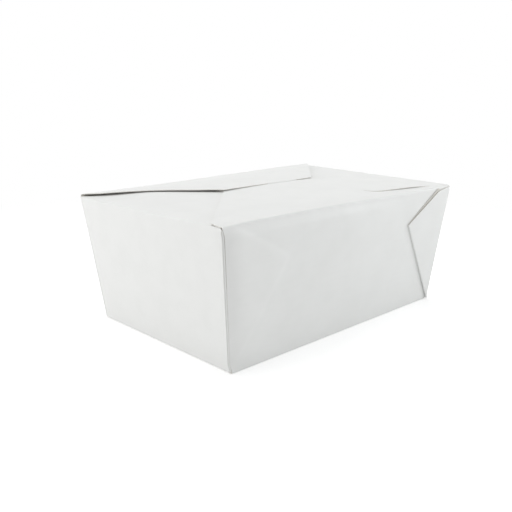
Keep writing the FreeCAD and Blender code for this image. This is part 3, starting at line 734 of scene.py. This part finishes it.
def web(name, side_x, side_y, fold):
    """One corner's web. side_x and side_y say which corner, and fold is 1 where the web is
    outside the long wall and -1 where it is inside. The one outside the rear wall has its upper
    edge a little lower, to leave room for the rear flap when that is laid back over it."""
    drop, ply_step = (REAR_DROP, REAR_STEP) if fold > 0 and side_y > 0 else (0, WEB_STEP)
    base_corner = np.array([side_x * BASE_X, side_y * BASE_Y, 0])
    up_corner = np.array([side_x * (MOUTH_X - BASE_X), side_y * (MOUTH_Y - BASE_Y), HEIGHT])
    up_corner = up_corner / np.linalg.norm(up_corner)
    out_long = np.array([0, side_y, -LEAN_Y]) / math.hypot(1, LEAN_Y)
    out_end = np.array([side_x, 0, -LEAN_X]) / math.hypot(1, LEAN_X)
    inward = np.cross(out_long, up_corner)
    inward = inward * (-side_x * np.sign(inward[0]))
    # Places of the middles of the plies, out from the long wall's outer face.
    pitch = BOARD + PLY_GAP
    wall_mid = -HALF_BOARD
    near_mid = wall_mid + fold * pitch
    far_mid = near_mid + fold * pitch - (LEFT_GROOVE if fold < 0 else 0)
    face = far_mid + HALF_BOARD
    back = CORNER_BACK if fold > 0 else NOSE_BACK

    def lay(along_corner, off_corner, off_wall):
        """Points from their distances up the corner line, in from it and out from the wall."""
        return (
            base_corner
            + along_corner[..., None] * up_corner
            + off_corner[..., None] * inward
            + off_wall[..., None] * out_long
        )

    parts = []
    # The bend from the end wall, tightened near the base point.
    wanted = RIGHT_BEND if fold > 0 else LEFT_BEND
    radius = np.minimum(wanted, BEND_SHARE * REACH_STEPS * CORNER_TOP * math.sin(WEB_HALF))
    bend_share = np.linspace(0, 1, 7)
    bend = bend_share * math.pi / 2
    middle_radius = np.maximum(radius - HALF_BOARD, LEAST_RADIUS)
    centre_out = face - radius
    sideways = radius[:, None] - middle_radius[:, None] * np.cos(bend)
    outward = centre_out[:, None] + middle_radius[:, None] * np.sin(bend)
    bend_height = REACH_STEPS[:, None] * (CORNER_TOP - drop * smooth(1.5 * bend_share))
    parts.append(lay(bend_height, sideways, outward))
    # The outer ply, from the bend to the middle fold. Each ply is laid by angle, and squeezed so
    # that it starts where the bend or roll leaves off and ends where the fold begins.
    angle = np.linspace(0, 1, 40)[1:] * WEB_HALF
    fold_radius = pitch / 2
    reach = edge_reach(angle, 0, drop)
    out = REACH_STEPS[:, None] * reach
    start_off = np.minimum(radius, out[:, 0])[:, None]
    off = out * np.sin(angle)
    end_off = out[:, -1:] * math.sin(WEB_HALF)
    squeezed = start_off + off / np.maximum(end_off, TINY) * (end_off - start_off - fold_radius)
    parts.append(lay(out * np.cos(angle), squeezed, np.full_like(out, far_mid)))
    # The middle fold, a half roll about the crease.
    around = np.radians(np.linspace(0, 180, 7))[1:-1]
    crease_out = REACH_STEPS[:, None] * WEB_CREASE
    roll_off = crease_out * math.sin(WEB_HALF) - fold_radius + fold_radius * np.sin(around)
    roll_out = (far_mid + near_mid) / 2 + (far_mid - near_mid) / 2 * np.cos(around)
    roll_up = crease_out * math.cos(WEB_HALF) * np.ones_like(around)
    parts.append(lay(roll_up, roll_off, roll_out * np.ones_like(crease_out)))
    # The under ply, back to the corner.
    angle = angle[::-1]
    reach = edge_reach(angle, ply_step, drop)
    out = REACH_STEPS[:, None] * reach
    off = out * np.sin(angle)
    end_off = out[:, :1] * math.sin(WEB_HALF)
    start_off = np.minimum(back, ROLL_SHARE * end_off)
    squeezed = start_off + off / np.maximum(end_off, TINY) * (end_off - start_off - fold_radius)
    parts.append(lay(out * np.cos(angle), squeezed, np.full_like(out, near_mid)))
    # The roll at the corner, to the long wall's edge: half a circle, or a point at the left end.
    around = np.radians(np.linspace(0, 180, 9))[1:]
    nose = fold_radius * np.sin(around) if fold > 0 else NOSE_MID * (1 - np.abs(np.cos(around)))
    back_off = start_off - nose * np.clip(start_off / back, 0, 1)
    back_out = (near_mid + wall_mid) / 2 + (near_mid - wall_mid) / 2 * np.cos(around)
    roll_height = REACH_STEPS[:, None] * (CORNER_TOP - drop) * np.ones_like(around)
    parts.append(lay(roll_height, back_off, back_out * np.ones_like(roll_height)))
    piece = board_sheet(name, tucked(np.concatenate(parts, axis=1)), out_end)
    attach(piece, "box")
    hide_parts("carton")


for end_name, side_x, fold in (("right", 1, 1), ("left", -1, -1)):
    for long_name, side_y in (("front", -1), ("rear", 1)):
        web(f"{end_name}_{long_name}_web", side_x, side_y, fold)

# %% [markdown]
# The rear flap is the last to be folded and the first to be opened. Its profile is a shallow
# arc from the crease to the free edge. Over the tongue's width the profile goes on: it bends
# down at the edge and follows the circle about the crease that its root makes as the flap turns.

# %% The rear flap
HINGE_Y, HINGE_Z = RIM_Y - HALF_BOARD, HEIGHT - HALF_BOARD
ROOT_Y = SEAM_Y + CREASE
ROOT_TOP = bow_z(ROOT_Y, HALF_BOARD)
NECK_Z = ROOT_TOP - CREASE
SWEEP = math.hypot(HINGE_Y - SEAM_Y, NECK_Z - HINGE_Z) - HALF_BOARD
FLAP_START = RIM_Y - CREASE
EDGE_DROOP, DROOP_WIDTH = 0.65, 16.0  # how far the left slanting edge hangs, and over what width
FLAP_CELLS = (34, 22, 26)  # cells across the flap: left of the tongue, over it and right of it

flap_y = along((FLAP_START, ROOT_Y, 50), (ROOT_Y, SEAM_Y, 1))
plate = np.stack([flap_y, bow_z(flap_y)], axis=1)
root_arc = quarter((ROOT_Y, NECK_Z), CREASE - HALF_BOARD, 90, 180, 6)
tongue_z = np.linspace(NECK_Z, NECK_Z - TONGUE_DEPTH, 15)[1:]
tongue_y = HINGE_Y - np.sqrt(SWEEP**2 - (tongue_z - HINGE_Z) ** 2)
tongue_line = np.stack([tongue_y, tongue_z], axis=1)
print("the tongue goes down to", round(tongue_z[-1], 2))


def rear_flap():
    """The flap, without its last row of cells over the tongue's width, and the tongue, whose own
    grid goes on from there: over the root's bend and down its circle."""
    edge_share = (FLAP_START + CREASE - flap_y) / (FLAP_START + CREASE - SEAM_Y)
    edge_half = CREASE_END - (CREASE_END - SEAM_HALF) * edge_share
    x = shaped_columns(-edge_half, edge_half, (TONGUE_START, TONGUE_END), FLAP_CELLS)
    y = np.repeat(plate[:, :1], x.shape[1], 1)
    root_share = ramp(y, SEAM_Y + 4, FLAP_START - 10)
    # The left slanting edge hangs a little, but not at its two ends.
    from_slant = (x + edge_half[:, None]) * math.sqrt(0.5)
    along_slant = (FLAP_START - y) / (FLAP_START - SEAM_Y)
    droop = EDGE_DROOP * (1 - smooth(from_slant / DROOP_WIDTH))
    droop = droop * ramp(along_slant, 0, 0.13) * ramp(along_slant, 1, 0.75)
    z = plate[:, 1:] + rear_rise(x) * root_share - droop
    kept_cells = np.ones((x.shape[0] - 1, x.shape[1] - 1), bool)
    kept_cells[-1, FLAP_CELLS[0] : FLAP_CELLS[0] + FLAP_CELLS[1]] = False
    body = board_sheet("rear_flap", np.stack([x, y, z], axis=2), (0, 0, 1), keep=kept_cells)
    # The tongue starts at the flap's last row but one and ends in rounded corners.
    down = np.concatenate([[plate[-2]], root_arc[1:], tongue_line])
    middle = (TONGUE_START + TONGUE_END) / 2
    half = TONGUE_WIDTH / 2
    into_round = np.clip(TONGUE_ROUND - (down[:, 1] - tongue_z[-1]), 0, TONGUE_ROUND)
    narrowed = half - (TONGUE_ROUND - np.sqrt(TONGUE_ROUND**2 - into_round**2))
    x = middle + np.linspace(-1, 1, FLAP_CELLS[1] + 1) * narrowed[:, None]
    y, z = down[:, :1] + 0 * x, down[:, 1:] + 0 * x
    tongue = board_sheet("tongue", np.stack([x, y, z], axis=2), (0, -1, 1))
    for piece in (body, tongue):
        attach(piece, "flap")
        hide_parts("locking_flap")


rear_flap()

# %% [markdown]
# The rear crease is the fold that the rear flap turns on when the box is opened. It is a strip of
# its own that meets the rear wall with one edge and the flap with the other, and curves smoothly
# between them.

# %% The rear crease
lean = math.degrees(math.atan(LEAN_Y))
slope = math.degrees(math.asin((FLAP_START - BOW_Y) / BOW_RADIUS))
crease_line = quarter((FLAP_START, RIM_Z), CREASE - HALF_BOARD, -lean, 90 - slope, 11)
crease_x, crease_y = np.meshgrid(np.linspace(-CREASE_END, CREASE_END, 61), crease_line[:, 0])
crease_z = crease_line[:, 1:] + rear_rise(crease_x)
rear_crease = board_sheet("rear_crease", np.stack([crease_x, crease_y, crease_z], axis=2), (0, 1, 0))
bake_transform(rear_crease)

# %% [markdown]
# The studio is a plain white floor that runs out of sight, and soft light. The box in the
# photograph gets darker toward its near corner on both sides, as it does between two soft lamps
# that stand far to the left and to the right, neither near the camera. The left one is a touch
# warm and the right one a touch cool. A third one hangs over the top. To the camera the floor is
# as white as paper in full light, and past the box's shadow it is the white of the background.

# %% The studio
FLOOR_WHITE = (0.96, 0.96, 0.96, 1)
FLOOR_GLOW = 0.29  # how much brighter the camera sees the floor
WHITE_FROM, WHITE_TO = 0.22, 0.5  # it turns white between these distances from the middle
FLOOR_REACH = 6.0
FLOOR_SIGNS = ((-1, -1), (1, -1), (1, 1), (-1, 1))
WORLD_LEVEL = 0.53
LAMP_AIM = Vector((0, 0, 0.05))
# Each lamp's place in metres, width, watts and tint.
LAMPS = {
    "left_lamp": ((-0.75, 0.35, 0.20), 0.6, 2.1, (1.0, 0.992, 0.985)),
    "right_lamp": ((1.09, -0.51, 0.27), 0.8, 7.35, (0.965, 0.99, 1.0)),
    "top_lamp": ((0.00, 0.26, 1.00), 0.8, 3.25, (1.0, 1.0, 1.0)),
}


def floor_paper():
    """Matt white paper. A camera ray sees it a little brighter, and far out wholly white."""
    material, shader, place = new_material("floor_paper")
    shader.inputs["Base Color"].default_value = FLOOR_WHITE
    shader.inputs["Roughness"].default_value = 0.9
    shader.inputs["Specular IOR Level"].default_value = 0.1
    tree = material.node_tree
    seen = Wire(tree, tree.nodes.new("ShaderNodeLightPath").outputs["Is Camera Ray"])
    away = place.wire("ShaderNodeVectorMath", 1, settings={"operation": "LENGTH"}, _0=place)
    glow = seen.wire("ShaderNodeEmission", Strength=seen * FLOOR_GLOW)
    white = seen.wire("ShaderNodeEmission", Strength=1.0)
    lit = seen.wire("ShaderNodeAddShader", _0=Wire(tree, shader.outputs[0]), _1=glow)
    far_out = seen * away.between(WHITE_FROM, WHITE_TO)
    mixed = seen.wire("ShaderNodeMixShader", _0=far_out, _1=lit, _2=white)
    link(mixed, tree.nodes["Material Output"].inputs["Surface"])
    return material


def studio():
    """Floor, world and lamps."""
    corners = [(across * FLOOR_REACH, back * FLOOR_REACH, 0) for across, back in FLOOR_SIGNS]
    floor_mesh = bpy.data.meshes.new("floor")
    floor_mesh.from_pydata(corners, [], [(0, 1, 2, 3)])
    floor_mesh.materials.append(floor_paper())
    floor = bpy.data.objects.new("floor", floor_mesh)
    bpy.context.collection.objects.link(floor)
    world = bpy.data.worlds.new("studio")
    bpy.context.scene.world = world
    world.use_nodes = True
    tree = world.node_tree
    rays = tree.nodes.new("ShaderNodeLightPath").outputs
    camera_ray, glossy_ray = Wire(tree, rays["Is Camera Ray"]), Wire(tree, rays["Is Glossy Ray"])
    seen = camera_ray.maths("MAXIMUM", camera_ray, glossy_ray)
    background = tree.nodes["Background"]
    background.inputs["Color"].default_value = (1, 1, 1, 1)
    link(WORLD_LEVEL + seen * (1 - WORLD_LEVEL), background.inputs["Strength"])
    for name, (spot, width, watts, tint) in LAMPS.items():
        lamp = bpy.data.objects.new(name, bpy.data.lights.new(name, "AREA"))
        lamp.data.shape = "DISK"
        lamp.data.size = width
        lamp.data.energy = watts
        lamp.data.color = tint
        aim = (LAMP_AIM - Vector(spot)).to_track_quat("-Z", "Y")
        lamp.matrix_world = Matrix.Translation(spot) @ aim.to_matrix().to_4x4()
        bpy.context.collection.objects.link(lamp)


studio()
bpy.context.scene.view_settings.view_transform = "Standard"
